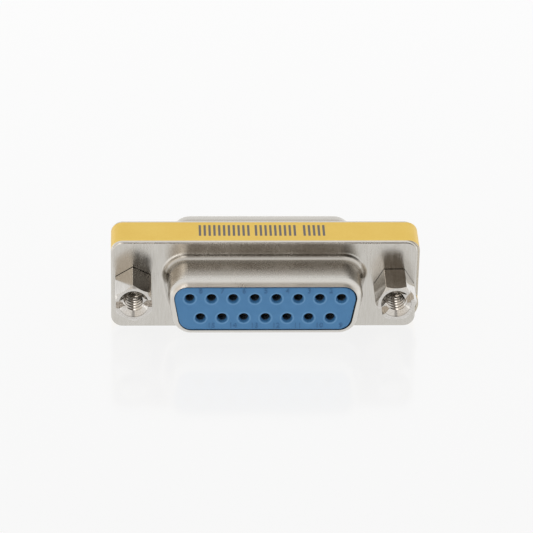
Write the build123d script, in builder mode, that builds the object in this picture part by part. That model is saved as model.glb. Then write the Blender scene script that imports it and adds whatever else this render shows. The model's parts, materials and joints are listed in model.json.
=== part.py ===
"""A 15 way D-sub gender changer, socket to socket, standing on the lower run of its middle band.

X runs along the contact rows, Y is the mating axis and Z is up. The origin is under the middle of
the body. The front socket faces -Y with its row of eight up. The rear socket is the same build
turned half round the X axis, so its row of eight is down and each contact keeps its place in X.
"""
from build123d import *
from math import atan, cos, degrees, radians, sqrt, tan
import os

os.makedirs("parts", exist_ok=True)

# Contact field, in millimetres
wide_count = 8
narrow_count = 7
pitch = 2.743
row_spacing = 2.84

# Margins from the contact field out to the shell wall, the screws and the flange edges
shell_end_margin = 2.73
shell_row_margin = 2.53
screw_margin = 4.33
flange_end_margin = 2.91
flange_side_margin = 2.325

# Drawn steel shells
sheet = 0.4
shell_reach = 5.95
shell_corner = 2.5
side_lean = 10
lip_radius = 1.05
mouth_inset = 0.75
foot_radius = 0.9
flange_corner = 1.5
flange_edge = 0.25
screw_hole_clearance = 0.14

# Middle of the body, between the two flanges
middle_gap = 4.7
band_sheet = 0.3
band_end_lift = 0.27
band_end_rise = 0.15
band_end_bow = 0.4
band_seam = 0.2
seam_drop = 2.0
band_clearance = 0.2

# Insulators
shell_clearance = 0.1
nose_clearance = 0.12
nose_offset = 0.06
nose_recess = 0.1
nose_edge = 0.1
entry_diameter = 1.4
entry_edge = 0.05
funnel_depth = 0.5
throat_diameter = 1.1
entry_depth = 0.65
step_width = 1.1
block_corner = 0.8
cavity_clearance = 0.075

# Contacts
contact_diameter = 1.5
contact_bore = 1.05
contact_recess = 1.25
contact_end_wall = 0.6
slit_width = 0.2
slit_length = 3.2
link_width = 0.5
link_thickness = 0.5
link_clearance = 0.1

# Jack sockets and spacers with a 4-40 thread
thread_major = 2.84
thread_mean = 2.5
thread_play = 0.03
jack_flats = 4.6
jack_length = 4.8
jack_edge_radius = 0.12
jack_chamfer = 0.36
jack_face_inset = 0.35
jack_neck_diameter = 3.9
jack_neck_length = 0.12
jack_floor = 0.6
countersink_diameter = 3.85
slot_width = 1.0
slot_depth = 0.9
stud_chamfer = 0.3
stud_end_gap = 0.2

# How far each jack socket was turned when it was tightened, in degrees
jack_turns = {"front_left": 3, "front_right": 31, "rear_left": -17, "rear_right": 22}

# Sizes that follow from those above
lean = radians(side_lean)
shell_width = (wide_count - 1) * pitch + 2 * shell_end_margin
shell_height = row_spacing + 2 * shell_row_margin
screw_spacing = shell_width + 2 * screw_margin
flange_width = screw_spacing + 2 * flange_end_margin
flange_height = shell_height + 2 * flange_side_margin
half_gap = middle_gap / 2
plate_front = half_gap + sheet
mating_face = plate_front + shell_reach
mid_height = flange_height / 2
drawn_reach = shell_reach + lip_radius - sqrt(lip_radius**2 - (lip_radius - mouth_inset) ** 2)
insulator_shoulder = mating_face - lip_radius - shell_clearance
insulator_face = mating_face - nose_recess
cavity_end = insulator_face - entry_depth
contact_end = cavity_end - contact_recess
funnel_angle = 2 * degrees(atan((entry_diameter - throat_diameter) / 2 / funnel_depth))
band_inner_width = flange_width - 2 * band_sheet
band_inner_height = flange_height - 2 * band_sheet
block_width = shell_width + 2 * step_width
block_height = band_inner_height - 2 * band_clearance
spacer_diameter = band_inner_width - screw_spacing - 2 * band_clearance
stud_length = sheet + half_gap - stud_end_gap
jack_corner = jack_flats / 2 / cos(radians(30))

# Each end is drawn on a plane that looks out of the body, the rear one turned half round X
ends = {
    "front": Plane(origin=(0, 0, mid_height), x_dir=(1, 0, 0), z_dir=(0, -1, 0)),
    "rear": Plane(origin=(0, 0, mid_height), x_dir=(1, 0, 0), z_dir=(0, 1, 0)),
}
sides = {"left": -screw_spacing / 2, "right": screw_spacing / 2}


def keystone(inset):
    """The D outline of the shell, moved in by an even inset, with its wide side up."""
    corner = shell_corner - inset
    top = shell_height / 2 - inset
    wide = shell_width / 2 - inset + corner * (tan(lean) + 1 / cos(lean) - 1)
    narrow = wide - 2 * top * tan(lean)
    with BuildSketch() as outline:
        with BuildLine():
            Polyline((-wide, top), (wide, top), (narrow, -top), (-narrow, -top), close=True)
        make_face()
        fillet(outline.vertices(), corner)
    return outline.sketch


def row_points(count, height):
    """Centres of one row of contacts, counted from the +X end."""
    return [((count - 1) / 2 * pitch - step * pitch, height) for step in range(count)]


def field_edges(part, depth):
    """Edges on the D outline at one distance from the middle of the body, not the flange's own."""
    def on_field(edge):
        middle = edge.center()
        inside = abs(middle.X) < shell_width / 2 and abs(middle.Z - mid_height) < shell_height / 2
        return inside and abs(abs(middle.Y) - depth) < 1e-6
    return part.edges().filter_by(on_field)


def outer_face(part, plane):
    """The face that lies furthest out of the body."""
    return part.faces().sort_by(Axis(plane.origin, plane.z_dir))[-1]


contact_points = row_points(wide_count, row_spacing / 2) + row_points(narrow_count, -row_spacing / 2)

# Shells, each the sheet between an outer form and the hollow behind it
for end, plane in ends.items():
    with BuildPart() as hollow:
        with BuildSketch(plane):
            Rectangle(flange_width, flange_height)
        extrude(amount=half_gap)
        with BuildSketch(plane.offset(half_gap)):
            add(keystone(sheet))
        extrude(amount=drawn_reach)
        fillet(outer_face(hollow, plane).edges(), lip_radius - sheet)
        fillet(field_edges(hollow, half_gap), foot_radius + sheet)

    with BuildPart() as shell:
        with BuildSketch(plane.offset(half_gap)):
            RectangleRounded(flange_width, flange_height, flange_corner)
        extrude(amount=sheet)
        fillet(outer_face(shell, plane).edges(), flange_edge)
        with BuildSketch(plane.offset(plate_front)):
            add(keystone(0))
        extrude(amount=drawn_reach)
        fillet(outer_face(shell, plane).edges(), lip_radius)
        fillet(field_edges(shell, plate_front), foot_radius)
        add(hollow.part, mode=Mode.SUBTRACT)
        with BuildSketch(plane.offset(plate_front + drawn_reach)):
            add(keystone(mouth_inset))
        extrude(amount=-lip_radius - sheet, mode=Mode.SUBTRACT)
        with BuildSketch(plane.offset(plate_front)):
            with GridLocations(screw_spacing, 0, 2, 1):
                Circle(thread_major / 2 + screw_hole_clearance)
        extrude(amount=-sheet, mode=Mode.SUBTRACT)
    shell.part.label = f"{end}_shell"
    export_step(shell.part, f"parts/{end}_shell.step")

# Insulators, stepped blocks that meet in the middle and come out at the lips, a little off centre there
for end, plane in ends.items():
    with BuildPart() as insulator:
        with BuildSketch(plane):
            RectangleRounded(block_width, block_height, block_corner)
        extrude(amount=half_gap)
        with BuildSketch(plane.offset(half_gap)):
            add(keystone(sheet + shell_clearance))
        extrude(amount=insulator_shoulder - half_gap)
        with BuildSketch(plane.offset(insulator_shoulder)):
            with Locations((-nose_offset, -nose_offset)):
                add(keystone(mouth_inset + nose_clearance))
        extrude(amount=insulator_face - insulator_shoulder)
        fillet(outer_face(insulator, plane).edges(), nose_edge)
        with Locations(plane.offset(insulator_face)):
            with Locations(*contact_points):
                CounterSinkHole(throat_diameter / 2, entry_diameter / 2, entry_depth, funnel_angle)
        chamfer(outer_face(insulator, plane).inner_wires().edges(), entry_edge)
        with BuildSketch(plane):
            with Locations(*contact_points):
                Circle(contact_diameter / 2 + cavity_clearance)
        extrude(amount=cavity_end, mode=Mode.SUBTRACT)
        with BuildSketch(plane):
            with Locations(*[(x, 0) for x, _ in contact_points]):
                Rectangle(link_width + 2 * link_clearance, row_spacing + link_width + 2 * link_clearance)
        extrude(amount=link_thickness / 2 + link_clearance, mode=Mode.SUBTRACT)
    insulator.part.label = f"{end}_insulator"
    export_step(insulator.part, f"parts/{end}_insulator.step")

# Contacts, a slit barrel at each end and a link across the middle from one row to the other
for number, centre in enumerate(contact_points, start=1):
    with BuildPart() as contact:
        for plane in ends.values():
            with BuildSketch(plane.offset(link_thickness / 2)):
                with Locations(centre):
                    Circle(contact_diameter / 2)
            extrude(amount=contact_end - link_thickness / 2)
            with BuildSketch(plane.offset(link_thickness / 2 + contact_end_wall)):
                with Locations(centre):
                    Circle(contact_bore / 2)
            extrude(amount=contact_end, mode=Mode.SUBTRACT)
            with BuildSketch(plane.offset(contact_end)):
                with Locations(centre):
                    Rectangle(2 * contact_diameter, slit_width)
            extrude(amount=-slit_length, mode=Mode.SUBTRACT)
        with BuildSketch(ends["front"]):
            with Locations((centre[0], 0)):
                Rectangle(link_width, row_spacing + link_width)
        extrude(amount=link_thickness / 2, both=True)
    contact.part.label = f"contact_{number:02}"
    export_step(contact.part, f"parts/contact_{number:02}.step")

# Jack sockets, turned with their studs, then cut to a hexagon and slotted
for end, plane in ends.items():
    for side, reach in sides.items():
        foot = plane.offset(plate_front).from_local_coords(Vector(reach, 0, 0))
        turning_plane = Plane(origin=foot, x_dir=plane.x_dir, z_dir=plane.x_dir.cross(plane.z_dir))
        turn = jack_turns[f"{end}_{side}"]
        with BuildPart() as jack:
            with BuildSketch(turning_plane):
                with BuildLine():
                    Polyline(
                        (0, -stud_length),
                        (thread_mean / 2 - stud_chamfer, -stud_length),
                        (thread_mean / 2, stud_chamfer - stud_length),
                        (thread_mean / 2, 0),
                        (jack_neck_diameter / 2, 0),
                        (jack_neck_diameter / 2, jack_neck_length),
                        (jack_corner, jack_neck_length),
                        (jack_corner, jack_length - jack_chamfer),
                        (jack_corner - jack_face_inset, jack_length),
                        (countersink_diameter / 2, jack_length),
                        (thread_major / 2, jack_length - (countersink_diameter - thread_major) / 2),
                        (thread_major / 2, jack_floor),
                        (0, jack_floor),
                        close=True,
                    )
                make_face()
            revolve(axis=Axis(foot, plane.z_dir))
            with BuildSketch(plane.offset(plate_front - stud_length)) as hexagon:
                with Locations((reach, 0)):
                    RegularPolygon(jack_flats / 2, 6, major_radius=False, rotation=turn + 30)
                fillet(hexagon.vertices(), jack_edge_radius)
            extrude(amount=stud_length + jack_length, mode=Mode.INTERSECT)
            with BuildSketch(plane.offset(plate_front + jack_length)):
                with Locations((reach, 0)):
                    Rectangle(3 * jack_corner, slot_width, rotation=turn)
            extrude(amount=-slot_depth, mode=Mode.SUBTRACT)
        jack.part.label = f"jack_{end}_{side}"
        export_step(jack.part, f"parts/jack_{end}_{side}.step")

# Spacers, threaded sleeves that hold the two flanges apart
for side, reach in sides.items():
    with BuildPart() as spacer:
        with BuildSketch(ends["front"]):
            with Locations((reach, 0)):
                Circle(spacer_diameter / 2)
                Circle(thread_mean / 2 + thread_play, mode=Mode.SUBTRACT)
        extrude(amount=half_gap, both=True)
    spacer.part.label = f"spacer_{side}"
    export_step(spacer.part, f"parts/spacer_{side}.step")

# Middle band, one strip folded round the body, its ends meeting low on the right side
band_x = flange_width / 2 - band_sheet / 2
band_z = flange_height / 2 - band_sheet / 2
fold_radius = flange_corner - band_sheet / 2
lower_end = -seam_drop - band_seam / 2
upper_end = band_seam / 2 - seam_drop
bow_start = fold_radius + band_sheet - band_z
with BuildPart() as band:
    with BuildSketch(ends["front"]):
        with BuildLine():
            FilletPolyline(
                (band_x + band_end_lift, upper_end),
                (band_x + band_end_lift, band_z),
                (-band_x, band_z),
                (-band_x, -band_z),
                (band_x, -band_z),
                (band_x, bow_start),
                radius=fold_radius,
            )
            Spline(
                (band_x, bow_start),
                (band_x + band_end_bow, (bow_start + lower_end) / 2),
                (band_x + band_end_rise, lower_end),
            )
        trace(line_width=band_sheet)
    extrude(amount=half_gap, both=True)
band.part.label = "middle_band"
export_step(band.part, "parts/middle_band.step")
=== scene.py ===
"""Looks of the gender changer: finishes, thread ridges, contact numbers, marks on the band, studio and camera.

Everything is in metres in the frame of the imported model: X along the contact rows, Y the mating axis, Z up.
"""
from math import cos, pi, radians, sin
import json

import bmesh
import bpy
from mathutils import Matrix, Vector


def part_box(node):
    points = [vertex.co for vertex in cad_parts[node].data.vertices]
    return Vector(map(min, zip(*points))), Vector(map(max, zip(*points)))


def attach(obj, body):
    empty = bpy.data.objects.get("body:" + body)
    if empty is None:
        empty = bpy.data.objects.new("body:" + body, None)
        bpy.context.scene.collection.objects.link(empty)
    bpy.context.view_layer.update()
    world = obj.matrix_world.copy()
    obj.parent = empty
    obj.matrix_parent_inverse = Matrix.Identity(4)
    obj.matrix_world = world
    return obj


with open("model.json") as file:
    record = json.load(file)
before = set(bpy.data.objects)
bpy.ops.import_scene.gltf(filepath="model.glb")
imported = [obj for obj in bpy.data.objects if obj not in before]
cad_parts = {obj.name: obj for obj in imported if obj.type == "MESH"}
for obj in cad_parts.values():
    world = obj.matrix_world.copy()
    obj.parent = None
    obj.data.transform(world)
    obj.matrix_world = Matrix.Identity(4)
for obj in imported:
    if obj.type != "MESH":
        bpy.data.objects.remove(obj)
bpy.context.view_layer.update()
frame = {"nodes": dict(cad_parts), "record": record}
nodes = frame["nodes"]

MM = 0.001
SHEET = 0.4 * MM
ENDS = {"front": -1, "rear": 1}
SIDES = {"left": -1, "right": 1}

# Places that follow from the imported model
shell_low, shell_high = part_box("front_shell")
spacer_low, spacer_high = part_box("spacer_right")
band_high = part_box("middle_band")[1]
screw_reach = (spacer_low.x + spacer_high.x) / 2
mid_height = (shell_low.z + shell_high.z) / 2
band_half = band_high.y
plate_front = band_half + SHEET
shell_face = -shell_low.y
insulator_face = -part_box("front_insulator")[0].y
jack_face = -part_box("jack_front_right")[0].y
contact_mouth = -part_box("contact_01")[0].y

# Contact field
PITCH = 2.743 * MM
ROW_SPACING = 2.84 * MM
WIDE_ROW = 8
NARROW_ROW = 7

# Jack socket's 4-40 thread
THREAD_PITCH = 25.4 / 40 * MM
THREAD_MAJOR = 1.42 * MM
THREAD_MINOR = 1.16 * MM
THREAD_LENGTH = 4.1 * MM
COUNTERSINK_RADIUS = 1.925 * MM
SLOT_WIDTH = 1.0 * MM
SLOT_DEPTH = 0.9 * MM
JACK_TURNS = {"front_left": 3, "front_right": 31, "rear_left": -17, "rear_right": 22}


def add_node(tree, kind, **settings):
    """A shader node with its settings."""
    node = tree.nodes.new(kind)
    for name, value in settings.items():
        setattr(node, name, value)
    return node


def math_node(tree, operation, *values):
    """A math node fed by sockets or numbers."""
    node = add_node(tree, "ShaderNodeMath", operation=operation)
    for socket, value in zip(node.inputs, values):
        if isinstance(value, (int, float)):
            socket.default_value = value
        else:
            tree.links.new(value, socket)
    return node.outputs[0]


def product(tree, first, *others):
    """A socket multiplied by sockets or numbers."""
    result = first
    for other in others:
        result = math_node(tree, "MULTIPLY", result, other)
    return result


def distance(tree, across, up):
    """The length of a flat vector."""
    squares = math_node(tree, "ADD", math_node(tree, "POWER", across, 2.0), math_node(tree, "POWER", up, 2.0))
    return math_node(tree, "SQRT", squares)


def remap(tree, value, low, high, to_low, to_high):
    """A value moved from one range to another, clamped."""
    node = add_node(tree, "ShaderNodeMapRange")
    tree.links.new(value, node.inputs["Value"])
    node.inputs["From Min"].default_value = low
    node.inputs["From Max"].default_value = high
    node.inputs["To Min"].default_value = to_low
    node.inputs["To Max"].default_value = to_high
    return node.outputs["Result"]


def ramp(tree, value, low, high):
    """A smooth step from 0 to 1 between two values."""
    node = add_node(tree, "ShaderNodeMapRange", interpolation_type="SMOOTHSTEP")
    tree.links.new(value, node.inputs["Value"])
    node.inputs["From Min"].default_value = low
    node.inputs["From Max"].default_value = high
    return node.outputs["Result"]


def hump(tree, value, rise, fall):
    """A smooth step up over the first two values and down again over the last two."""
    return product(tree, ramp(tree, value, *rise), ramp(tree, value, *reversed(fall)))


def separate(tree, vector):
    """The X, Y and Z of a vector."""
    axes = add_node(tree, "ShaderNodeSeparateXYZ")
    tree.links.new(vector, axes.inputs[0])
    return axes.outputs["X"], axes.outputs["Y"], axes.outputs["Z"]


def outward(tree, place):
    """Distance from the middle plane between the two ends."""
    return math_node(tree, "ABSOLUTE", separate(tree, place)[1])


def above_middle(tree, place):
    """Height above the contact field's middle, in millimetres."""
    return math_node(tree, "SUBTRACT", separate(tree, place)[2], mid_height / MM)


def millimetres(tree, stretch=(1, 1, 1)):
    """Object coordinates in millimetres, optionally stretched along an axis."""
    coordinates = add_node(tree, "ShaderNodeTexCoord")
    mapping = add_node(tree, "ShaderNodeMapping")
    mapping.inputs["Scale"].default_value = [1 / MM / s for s in stretch]
    tree.links.new(coordinates.outputs["Object"], mapping.inputs["Vector"])
    return mapping.outputs["Vector"]


def noise(tree, vector, size, detail=3.0, roughness=0.55):
    """Noise whose largest features are about this size in the units of the vector."""
    node = add_node(tree, "ShaderNodeTexNoise")
    node.inputs["Scale"].default_value = 1 / size
    node.inputs["Detail"].default_value = detail
    node.inputs["Roughness"].default_value = roughness
    tree.links.new(vector, node.inputs["Vector"])
    return node.outputs["Fac"]


def blend_colours(tree, factor, first, second):
    """Two colours, or a socket and a colour, blended by a factor."""
    node = add_node(tree, "ShaderNodeMix", data_type="RGBA")
    tree.links.new(factor, node.inputs[0])
    for socket, value in zip((node.inputs[6], node.inputs[7]), (first, second)):
        if isinstance(value, tuple):
            socket.default_value = (*value, 1)
        else:
            tree.links.new(value, socket)
    return node.outputs[2]


def bump(tree, height, depth, below=None):
    """A normal from a height between 0 and 1 and its depth in metres."""
    node = add_node(tree, "ShaderNodeBump")
    node.inputs["Strength"].default_value = 1
    node.inputs["Distance"].default_value = depth
    tree.links.new(height, node.inputs["Height"])
    if below is not None:
        tree.links.new(below, node.inputs["Normal"])
    return node.outputs["Normal"]


def new_material(name, metallic, **constants):
    """A material with a principled shader, returned with its tree and shader."""
    material = bpy.data.materials.new(name)
    material.use_nodes = True
    tree = material.node_tree
    shader = tree.nodes["Principled BSDF"]
    shader.inputs["Metallic"].default_value = metallic
    for socket, value in constants.items():
        shader.inputs[socket.replace("_", " ")].default_value = value
    return material, tree, shader


def feed(tree, shader, **sockets):
    """Links sockets to the shader's inputs of the same names."""
    for name, socket in sockets.items():
        tree.links.new(socket, shader.inputs[name.replace("_", " ")])


def shell_nickel():
    """Satin nickel on drawn sheet, streaked along Z, with a duller D wall and lip, a painted dark reflection on the
    wall, painted shade at the foot and a painted highlight on the lip.
    """
    material, tree, shader = new_material("shell_nickel", 1.0)
    place = millimetres(tree)
    clouds = noise(tree, place, 3.5, 4)
    grain = noise(tree, place, 0.12, 2)
    lines = noise(tree, millimetres(tree, (1, 14, 1)), 0.15, 2)
    streaks = noise(tree, millimetres(tree, (1, 1, 12)), 0.16, 3)

    out = outward(tree, place)
    plate = plate_front / MM
    face = shell_face / MM
    wall = ramp(tree, out, plate + 0.3, plate + 1.2)
    # Masks for painted light: a dark reflection over the D wall, shade in the crease at its foot, a highlight on the
    # lip.
    drawn = hump(tree, out, (plate + 0.1, plate + 0.5), (plate + 4.0, plate + 4.7))
    foot = hump(tree, out, (plate + 0.02, plate + 0.06), (plate + 0.13, plate + 0.20))
    lip = ramp(tree, out, face - 0.75, face - 0.35)

    metal = blend_colours(tree, clouds, (0.595, 0.575, 0.535), (0.675, 0.655, 0.615))
    streaked = blend_colours(tree, remap(tree, streaks, 0.35, 0.65, 0, 0.35), metal, (0.53, 0.50, 0.455))
    # Painted highlight: the lip's colour is lightened towards the shell's face.
    lip_lit = blend_colours(tree, product(tree, lip, 0.25), streaked, (0.86, 0.83, 0.78))
    # Painted dark reflection: the D wall's colour is darkened over most of its height.
    wall_shaded = blend_colours(tree, product(tree, drawn, 0.55), lip_lit, (0.37, 0.335, 0.29))

    # Painted shade: a dark line in the crease at the D's foot, stronger on the long sides and broken up by the grain.
    height = math_node(tree, "ABSOLUTE", above_middle(tree, place))
    on_long_sides = remap(tree, height, 3.2, 4.2, 0.3, 0.95)
    foot_shade = product(tree, foot, remap(tree, grain, 0.35, 0.65, 0.5, 1), on_long_sides)

    gloss = remap(tree, math_node(tree, "ADD", clouds, streaks), 0.75, 1.25, 0.17, 0.28)
    dulled = product(tree, math_node(tree, "ADD", wall, lip), 0.05)
    fine = bump(tree, streaks, 0.0016 * MM, bump(tree, grain, 0.0005 * MM))
    feed(tree, shader,
         Base_Color=blend_colours(tree, foot_shade, wall_shaded, (0.10, 0.09, 0.075)),
         Roughness=math_node(tree, "ADD", gloss, dulled),
         Normal=bump(tree, lines, 0.0018 * MM, fine))
    return material


def jack_nickel():
    """Bright nickel on turned bar: rings on the end faces, drawn lines along the flats, a painted shade line at the
    countersink's outer edge.
    """
    material, tree, shader = new_material("jack_nickel", 1.0)
    place = millimetres(tree)
    clouds = noise(tree, place, 1.6, 3)
    lines = noise(tree, millimetres(tree, (1, 30, 1)), 0.1, 2)

    reach = math_node(tree, "ABSOLUTE", separate(tree, place)[0])
    across = math_node(tree, "SUBTRACT", reach, screw_reach / MM)
    radius = distance(tree, across, above_middle(tree, place))
    tool_feed = 0.09
    rings = math_node(tree, "SINE", product(tree, radius, 2 * pi / tool_feed))
    ring_height = remap(tree, rings, -1, 1, 0, 1)

    edge = COUNTERSINK_RADIUS / MM
    face = jack_face / MM
    # Painted shade: a dark line just inside the countersink's outer edge, on the end face only.
    countersink_shade = hump(tree, radius, (edge - 0.11, edge - 0.05), (edge, edge + 0.02))
    at_face = ramp(tree, outward(tree, place), face - 0.25, face - 0.15)

    metal = blend_colours(tree, clouds, (0.66, 0.64, 0.61), (0.75, 0.73, 0.70))
    lined = blend_colours(tree, remap(tree, lines, 0.35, 0.65, 0, 0.6), metal, (0.47, 0.44, 0.40))
    feed(tree, shader,
         Base_Color=blend_colours(tree, product(tree, countersink_shade, at_face, 0.4), lined, (0.16, 0.145, 0.13)),
         Roughness=remap(tree, clouds, 0.3, 0.7, 0.10, 0.16),
         Normal=bump(tree, lines, 0.0022 * MM, bump(tree, ring_height, 0.0008 * MM)))
    return material


def opening_radius(tree, place):
    """Distance from the nearest contact opening's axis, in millimetres, on either end."""
    pitch = PITCH / MM
    x, y, _ = separate(tree, place)
    columns = math_node(tree, "DIVIDE", x, pitch)
    between = math_node(tree, "ADD", math_node(tree, "FLOOR", columns), 0.5)
    offsets = []
    for centre, count in ((between, WIDE_ROW), (math_node(tree, "ROUND", columns), NARROW_ROW)):
        limited = math_node(tree, "MAXIMUM", centre, (1 - count) / 2)
        limited = math_node(tree, "MINIMUM", limited, (count - 1) / 2)
        offsets.append(product(tree, math_node(tree, "SUBTRACT", columns, limited), pitch))
    wide, narrow = offsets
    up = above_middle(tree, place)
    turned = product(tree, up, math_node(tree, "SIGN", y))
    in_wide_row = math_node(tree, "LESS_THAN", turned, 0.0)
    across = math_node(tree, "ADD", narrow, product(tree, in_wide_row, math_node(tree, "SUBTRACT", wide, narrow)))
    height = math_node(tree, "SUBTRACT", math_node(tree, "ABSOLUTE", up), ROW_SPACING / 2 / MM)
    return distance(tree, across, height)


def insulator_blue(name, deep, light):
    """Matte moulded plastic: flow marks, an eroded grain, painted highlight rings round the openings, painted shade
    deep inside them.
    """
    material, tree, shader = new_material(name, 0.0, Specular_IOR_Level=0.45)
    place = millimetres(tree)
    flow = noise(tree, place, 1.4, 4, 0.6)
    grain = noise(tree, place, 0.1, 2)
    # Painted highlight: a paler ring round each opening.
    rim_highlight = hump(tree, opening_radius(tree, place), (0.68, 0.76), (0.84, 0.98))
    blue = blend_colours(tree, math_node(tree, "ADD", flow, product(tree, grain, 0.25)), deep, light)
    rim_lit_blue = blend_colours(tree, product(tree, rim_highlight, 0.45), blue, (0.17, 0.38, 0.63))
    face = insulator_face / MM
    inside = ramp(tree, outward(tree, place), face - 0.40, face - 0.56)
    feed(tree, shader,
         Base_Color=blend_colours(tree, inside, rim_lit_blue, (0.085, 0.130, 0.175)),
         Roughness=remap(tree, grain, 0.3, 0.7, 0.42, 0.55),
         Normal=bump(tree, grain, 0.003 * MM, bump(tree, flow, 0.006 * MM)))
    return material


def contact_gold():
    """Thin gold over copper alloy, slightly uneven, with painted shade darkening it near the mouths of the barrels.
    """
    material, tree, shader = new_material("contact_gold", 1.0)
    place = millimetres(tree)
    clouds = noise(tree, place, 0.8, 3)
    gold = blend_colours(tree, clouds, (0.72, 0.46, 0.17), (0.86, 0.60, 0.25))
    mouth = contact_mouth / MM
    # Painted shade: the gold is darkened towards the contacts' outer ends, deep in the insulator's openings.
    barrel_shade = ramp(tree, outward(tree, place), mouth - 1.5, mouth - 0.3)
    feed(tree, shader,
         Base_Color=blend_colours(tree, barrel_shade, gold, (0.22, 0.17, 0.13)),
         Roughness=remap(tree, clouds, 0.3, 0.7, 0.22, 0.36),
         Normal=bump(tree, noise(tree, place, 0.08, 2), 0.001 * MM))
    return material


def spacer_zinc():
    """Plain zinc plate with a crystalline grain."""
    material, tree, shader = new_material("spacer_zinc", 1.0)
    place = millimetres(tree)
    clouds = noise(tree, place, 0.6, 3)
    feed(tree, shader,
         Base_Color=blend_colours(tree, clouds, (0.52, 0.53, 0.55), (0.64, 0.65, 0.67)),
         Roughness=remap(tree, clouds, 0.3, 0.7, 0.3, 0.45),
         Normal=bump(tree, noise(tree, place, 0.1, 2), 0.002 * MM))
    return material


def band_yellow():
    """Satin yellow chromate on rolled strip, with rolling lines along it, and plain steel on its cut edges."""
    material, tree, shader = new_material("band_yellow", 0.35, Specular_IOR_Level=0.5)
    place = millimetres(tree)
    clouds = noise(tree, place, 4.0, 3)
    speckle = noise(tree, place, 0.12, 2)
    rolling = noise(tree, millimetres(tree, (20, 1, 20)), 0.12, 2)
    tint = blend_colours(tree, clouds, (0.765, 0.505, 0.070), (0.835, 0.595, 0.125))
    coat = blend_colours(tree, remap(tree, speckle, 0.35, 0.65, 0, 0.25), tint, (0.70, 0.45, 0.06))
    half = band_half / MM
    cut_edge = remap(tree, outward(tree, place), half - 0.03, half - 0.02, 0, 1)
    feed(tree, shader,
         Base_Color=blend_colours(tree, cut_edge, coat, (0.68, 0.63, 0.53)),
         Roughness=remap(tree, speckle, 0.3, 0.7, 0.36, 0.5),
         Normal=bump(tree, rolling, 0.0015 * MM, bump(tree, speckle, 0.001 * MM)))
    return material


def print_ink():
    """Dark grey pad print, a little uneven in cover."""
    material, tree, shader = new_material("print_ink", 0.0, Specular_IOR_Level=0.4)
    place = millimetres(tree)
    cover = noise(tree, place, 0.15, 3)
    feed(tree, shader,
         Base_Color=blend_colours(tree, cover, (0.105, 0.095, 0.095), (0.17, 0.155, 0.145)),
         Roughness=remap(tree, cover, 0.3, 0.7, 0.45, 0.6),
         Normal=bump(tree, cover, 0.001 * MM))
    return material


FINISHES = {
    "shell_nickel": shell_nickel(),
    "jack_nickel": jack_nickel(),
    "insulator_blue": insulator_blue("insulator_blue", (0.044, 0.172, 0.375), (0.072, 0.232, 0.468)),
    "contact_gold": contact_gold(),
    "spacer_zinc": spacer_zinc(),
    "band_yellow": band_yellow(),
}
INK = print_ink()
# The numbers get a darker blue than the face: painted shade standing in for the shading at their edges.
NUMBER_BLUE = insulator_blue("number_blue", (0.034, 0.132, 0.300), (0.050, 0.172, 0.365))


def finish_cad_nodes():
    """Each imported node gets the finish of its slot."""
    slots = {part["node"]: part["material_slot"] for part in frame["record"]["subparts"]}
    for name, node in nodes.items():
        node.data.materials.clear()
        node.data.materials.append(FINISHES[slots[name]])


def keep_piece(name, mesh, material):
    """A mesh becomes a named piece of the object."""
    piece = bpy.data.objects.new(name, mesh)
    bpy.context.scene.collection.objects.link(piece)
    mesh.materials.clear()
    mesh.materials.append(material)
    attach(piece, "root")
    return piece


def mesh_from(name, points, faces):
    """A mesh with its faces turned outwards."""
    mesh = bpy.data.meshes.new(name)
    shape = bmesh.new()
    corners = [shape.verts.new(point) for point in points]
    for face in faces:
        shape.faces.new([corners[index] for index in face])
    bmesh.ops.recalc_face_normals(shape, faces=shape.faces)
    shape.to_mesh(mesh)
    shape.free()
    return mesh


def cut_by(mesh, cutters):
    """What is left of a mesh after closed cutter meshes are taken from it."""
    scene = bpy.context.scene
    subject = bpy.data.objects.new("subject", mesh)
    scene.collection.objects.link(subject)
    tools = []
    for cutter in cutters:
        tool = bpy.data.objects.new("tool", cutter)
        scene.collection.objects.link(tool)
        tools.append(tool)
        cut = subject.modifiers.new("cut", "BOOLEAN")
        cut.operation = "DIFFERENCE"
        cut.solver = "EXACT"
        cut.object = tool
    depsgraph = bpy.context.evaluated_depsgraph_get()
    left = bpy.data.meshes.new_from_object(subject.evaluated_get(depsgraph))
    for helper in [subject, *tools]:
        bpy.data.objects.remove(helper)
    return left


def helix_ridge(name):
    """The ridge of an internal thread round the Z axis from zero up, its root sunk slightly in the wall."""
    steps = 72
    flank_slope = 0.577
    crest_half = THREAD_PITCH / 8
    root = THREAD_MAJOR + 0.01 * MM
    root_half = crest_half + (root - THREAD_MINOR) * flank_slope
    shoulder = THREAD_MINOR + 0.4 * crest_half
    half_profile = [(root, root_half), (shoulder, 1.2 * crest_half), (THREAD_MINOR, 0.6 * crest_half)]
    profile = [(radius, -offset) for radius, offset in half_profile] + half_profile[::-1]
    turns = THREAD_LENGTH / THREAD_PITCH
    count = int(turns * steps) + 1
    points, faces = [], []
    for step in range(count):
        angle = 2 * pi * step / steps
        rise = THREAD_PITCH * step / steps
        for radius, offset in profile:
            points.append((radius * cos(angle), radius * sin(angle), rise + offset))
    sides = len(profile)
    for step in range(count - 1):
        for side in range(sides):
            after = (side + 1) % sides
            faces.append((step * sides + side, step * sides + after,
                          (step + 1) * sides + after, (step + 1) * sides + side))
    faces.append(tuple(range(sides)))
    faces.append(tuple((count - 1) * sides + side for side in range(sides)))
    return mesh_from(name, points, faces)


def box_mesh(name, low, high):
    """A closed box between two corners."""
    points = [(x, y, z) for x in (low[0], high[0]) for y in (low[1], high[1]) for z in (low[2], high[2])]
    faces = [(0, 1, 3, 2), (4, 6, 7, 5), (0, 4, 5, 1), (2, 3, 7, 6), (0, 2, 6, 4), (1, 5, 7, 3)]
    return mesh_from(name, points, faces)


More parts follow.
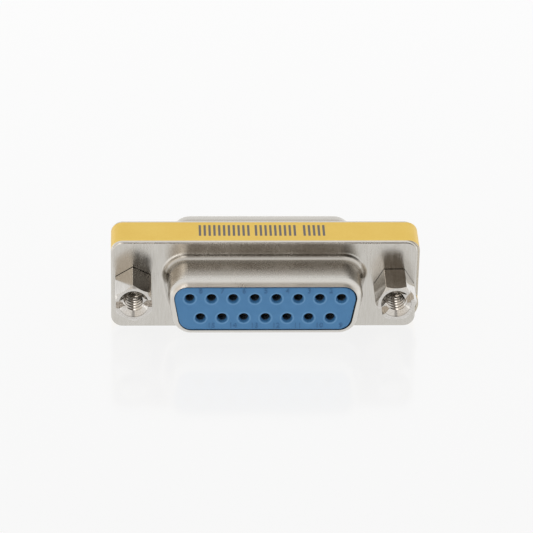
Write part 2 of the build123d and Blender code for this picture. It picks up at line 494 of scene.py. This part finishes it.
def cone_mesh(name, apex_height, top_height):
    """A closed 90 degree cone that opens upwards from its apex."""
    count = 85
    radius = top_height - apex_height
    points = [(radius * cos(2 * pi * i / count), radius * sin(2 * pi * i / count), top_height) for i in range(count)]
    points.append((0, 0, apex_height))
    faces = [(i, (i + 1) % count, count) for i in range(count)] + [tuple(range(count))]
    return mesh_from(name, points, faces)


def add_threads():
    """The thread ridges of the four jack sockets, cut by the countersink and the slot."""
    length = THREAD_LENGTH
    wide = 3 * THREAD_MAJOR
    smooth_below = radians(40)
    for end, out in ENDS.items():
        for side, reach in SIDES.items():
            name = f"jack_thread_{end}_{side}"
            turn = radians(JACK_TURNS[f"{end}_{side}"])
            slot = box_mesh("slot", (-wide, -SLOT_WIDTH / 2, length - SLOT_DEPTH), (wide, SLOT_WIDTH / 2, 2 * length))
            slot.transform(Matrix.Rotation(turn, 4, "Z"))
            cone = cone_mesh("countersink", length - COUNTERSINK_RADIUS, 1.4 * length)
            ridge = cut_by(helix_ridge(name), [cone, slot])
            along = Vector((0, out, 0))
            across = Vector((1, 0, 0))
            placing = Matrix((across, along.cross(across), along)).transposed().to_4x4()
            placing.translation = Vector((reach * screw_reach, out * (jack_face - length), mid_height))
            ridge.transform(placing)
            ridge.shade_smooth()
            ridge.set_sharp_from_angle(angle=smooth_below)
            keep_piece(name, ridge, FINISHES["jack_nickel"])


def text_mesh(body, size, thickness):
    """A plain number as a thin solid, centred, read along +X with its top towards +Y."""
    curve = bpy.data.curves.new("number", "FONT")
    curve.body = body
    curve.size = size
    curve.extrude = thickness
    curve.align_x = "CENTER"
    curve.align_y = "CENTER"
    curve.resolution_u = 3
    holder = bpy.data.objects.new("number", curve)
    bpy.context.scene.collection.objects.link(holder)
    depsgraph = bpy.context.evaluated_depsgraph_get()
    mesh = bpy.data.meshes.new_from_object(holder.evaluated_get(depsgraph))
    bpy.data.objects.remove(holder)
    return mesh


def add_numbers():
    """Contact numbers moulded proud of each insulator's face, beside their openings."""
    size = 1.05 * MM
    relief = 0.06 * MM
    upper_height = ROW_SPACING / 2 + 1.12 * MM
    lower_height = -ROW_SPACING / 2 - 1.13 * MM
    off_the_corner = 0.45 * MM
    places = []
    for count, height in ((WIDE_ROW, upper_height), (NARROW_ROW, lower_height)):
        for step in range(count):
            places.append(((count / 2 - step) * PITCH, height))
    places[0] = (places[0][0] - off_the_corner, upper_height)
    for end, out in ENDS.items():
        shape = bmesh.new()
        for number, (across, up) in enumerate(places, start=1):
            mesh = text_mesh(str(number), size, relief)
            mesh.transform(Matrix.Translation((across, up, 0)))
            shape.from_mesh(mesh)
        upright = Matrix(((1, 0, 0), (0, 0, out), (0, -out, 0))).to_4x4()
        upright.translation = Vector((0, out * insulator_face, mid_height))
        mesh = bpy.data.meshes.new(f"{end}_numbers")
        shape.to_mesh(mesh)
        shape.free()
        mesh.transform(upright)
        keep_piece(f"{end}_numbers", mesh, NUMBER_BLUE)


def add_band_marks():
    """Plain upright dashes in three groups, printed where the band carries its print."""
    length = 2.7 * MM
    width = 0.3 * MM
    step = 0.62 * MM
    film = 0.006 * MM
    middle = 0.25 * MM
    groups = [(-8.36 * MM, 11), (-1.19 * MM, 9), (5.0 * MM, 5)]
    shape = bmesh.new()
    for start, count in groups:
        for index in range(count):
            x = start + index * step
            shape.from_mesh(box_mesh("dash", (x, middle - length / 2, band_high.z - film),
                                     (x + width, middle + length / 2, band_high.z + film)))
    mesh = bpy.data.meshes.new("band_marks")
    shape.to_mesh(mesh)
    shape.free()
    keep_piece("band_marks", mesh, INK)


def add_floor():
    """A pale, slightly glossy sweep."""
    reach = 6.0
    front = -75 * MM
    mesh = mesh_from("floor", [(-reach, front, 0), (reach, front, 0), (reach, reach, 0), (-reach, reach, 0)],
                     [(0, 1, 2, 3)])
    floor = bpy.data.objects.new("floor", mesh)
    bpy.context.scene.collection.objects.link(floor)
    material, tree, shader = new_material("floor", 0.0, Specular_IOR_Level=0.26, Emission_Strength=0.85)
    place = millimetres(tree)
    soft = noise(tree, place, 60, 2)
    shader.inputs["Base Color"].default_value = (0.05, 0.05, 0.05, 1)
    shader.inputs["Emission Color"].default_value = (1, 1, 1, 1)
    feed(tree, shader, Roughness=remap(tree, soft, 0.3, 0.7, 0.10, 0.14))
    mesh.materials.append(material)


def add_world():
    """A studio tent: white behind and overhead, on the camera's side warm light at the left and dark at the right."""
    world = bpy.data.worlds.new("tent")
    bpy.context.scene.world = world
    world.use_nodes = True
    tree = world.node_tree
    background = tree.nodes["Background"]
    direction = add_node(tree, "ShaderNodeTexCoord").outputs["Generated"]
    across, inward, _ = separate(tree, direction)

    # Right of the camera: a dark room with a pale panel far out and another above
    far_right = blend_colours(tree, ramp(tree, across, 0.46, 0.62), (0.06, 0.052, 0.044), (0.88, 0.86, 0.82))
    low_right = blend_colours(tree, ramp(tree, across, 0.4, 0.08), far_right, (0.16, 0.13, 0.10))
    raised = product(tree, ramp(tree, inward, -0.72, -0.55), ramp(tree, across, 0.10, 0.30))
    right = blend_colours(tree, raised, low_right, (0.95, 0.91, 0.86))

    # Left of the camera: a bright lamp close by, warm light beyond it
    beyond = math_node(tree, "MAXIMUM", ramp(tree, across, -0.22, -0.40), ramp(tree, inward, -0.76, -0.62))
    left = blend_colours(tree, beyond, (2.3, 2.2, 2.1), (0.82, 0.74, 0.64))

    camera_side = blend_colours(tree, ramp(tree, across, -0.04, -0.15), right, left)
    lit = blend_colours(tree, ramp(tree, inward, -0.84, -0.05), camera_side, (1.0, 1.0, 1.0))
    seen = add_node(tree, "ShaderNodeLightPath").outputs["Is Camera Ray"]
    tree.links.new(blend_colours(tree, seen, lit, (0.94, 0.94, 0.93)), background.inputs["Color"])
    background.inputs["Strength"].default_value = 1.0


def add_camera():
    """The photograph's view, found from the contact openings, the flange and the band."""
    image_size = 533
    focal_pixels = 3298
    sensor = 36
    azimuth = radians(-2.69)
    elevation = radians(30.77)
    roll = radians(1.32)
    camera_distance = 424 * MM
    target = Vector((0.395, -0.15, 7.415)) * MM
    back = Vector((sin(azimuth) * cos(elevation), -cos(azimuth) * cos(elevation), sin(elevation)))
    level = Vector((cos(azimuth), sin(azimuth), 0))
    up = back.cross(level)
    right = cos(roll) * level + sin(roll) * up
    top = cos(roll) * up - sin(roll) * level
    data = bpy.data.cameras.new("camera")
    data.sensor_width = sensor
    data.lens = focal_pixels / image_size * sensor
    data.clip_start = 0.01
    camera = bpy.data.objects.new("camera", data)
    pose = Matrix((right, top, back)).transposed().to_4x4()
    pose.translation = target + back * camera_distance
    camera.matrix_world = pose
    bpy.context.scene.collection.objects.link(camera)
    bpy.context.scene.camera = camera


finish_cad_nodes()
add_threads()
add_numbers()
add_band_marks()
add_floor()
add_world()
add_camera()
bpy.context.scene.view_settings.view_transform = "Standard"
